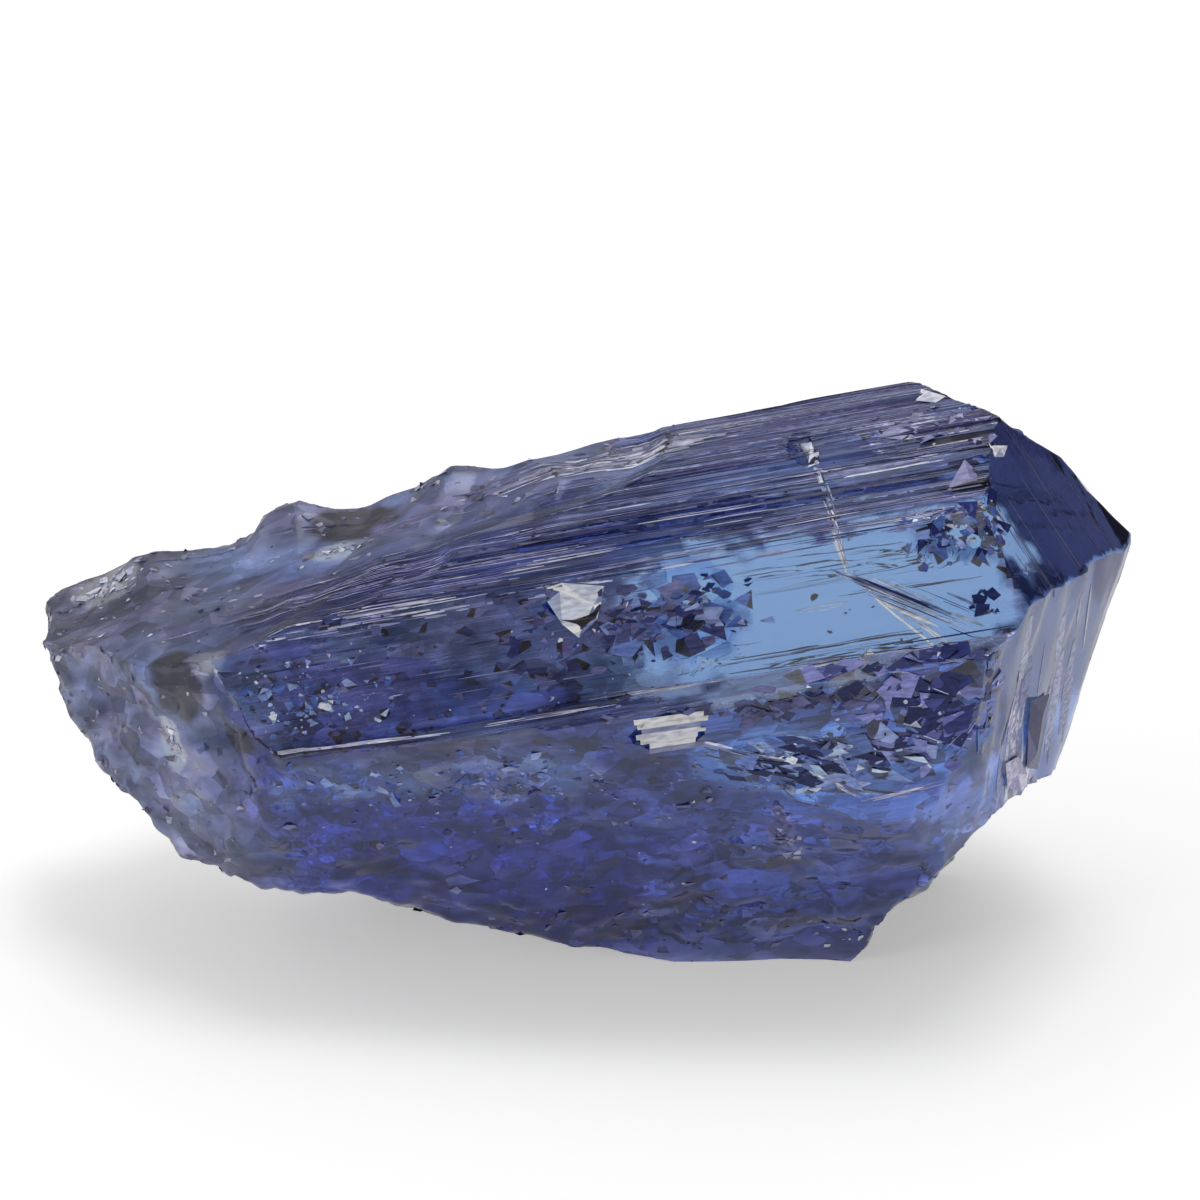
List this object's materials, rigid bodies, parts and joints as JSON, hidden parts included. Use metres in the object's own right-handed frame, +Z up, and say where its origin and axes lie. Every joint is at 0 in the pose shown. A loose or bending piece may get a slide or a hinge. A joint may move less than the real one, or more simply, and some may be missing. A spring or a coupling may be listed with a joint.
{
  "type": "rough gemstone crystal",
  "caption": "Uncut blue-violet crystal, a striated prism with a wedge-shaped tip and a broken milky root, lying on a flat worn spot.",
  "frame": {"origin": "under the middle of the crystal's box, on the surface it rests on", "axes": "+X along the crystal towards its tip, +Y away from the side with the clear window face, +Z up"},
  "size_m": [0.0199, 0.009, 0.0102],
  "materials": {
    "tanzanite": "clear blue-violet crystal, glassy on its growth faces and frosted where it is broken"
  },
  "bodies": {
    "root": {"tanzanite_crystal": "tanzanite"}
  },
  "joints": []
}
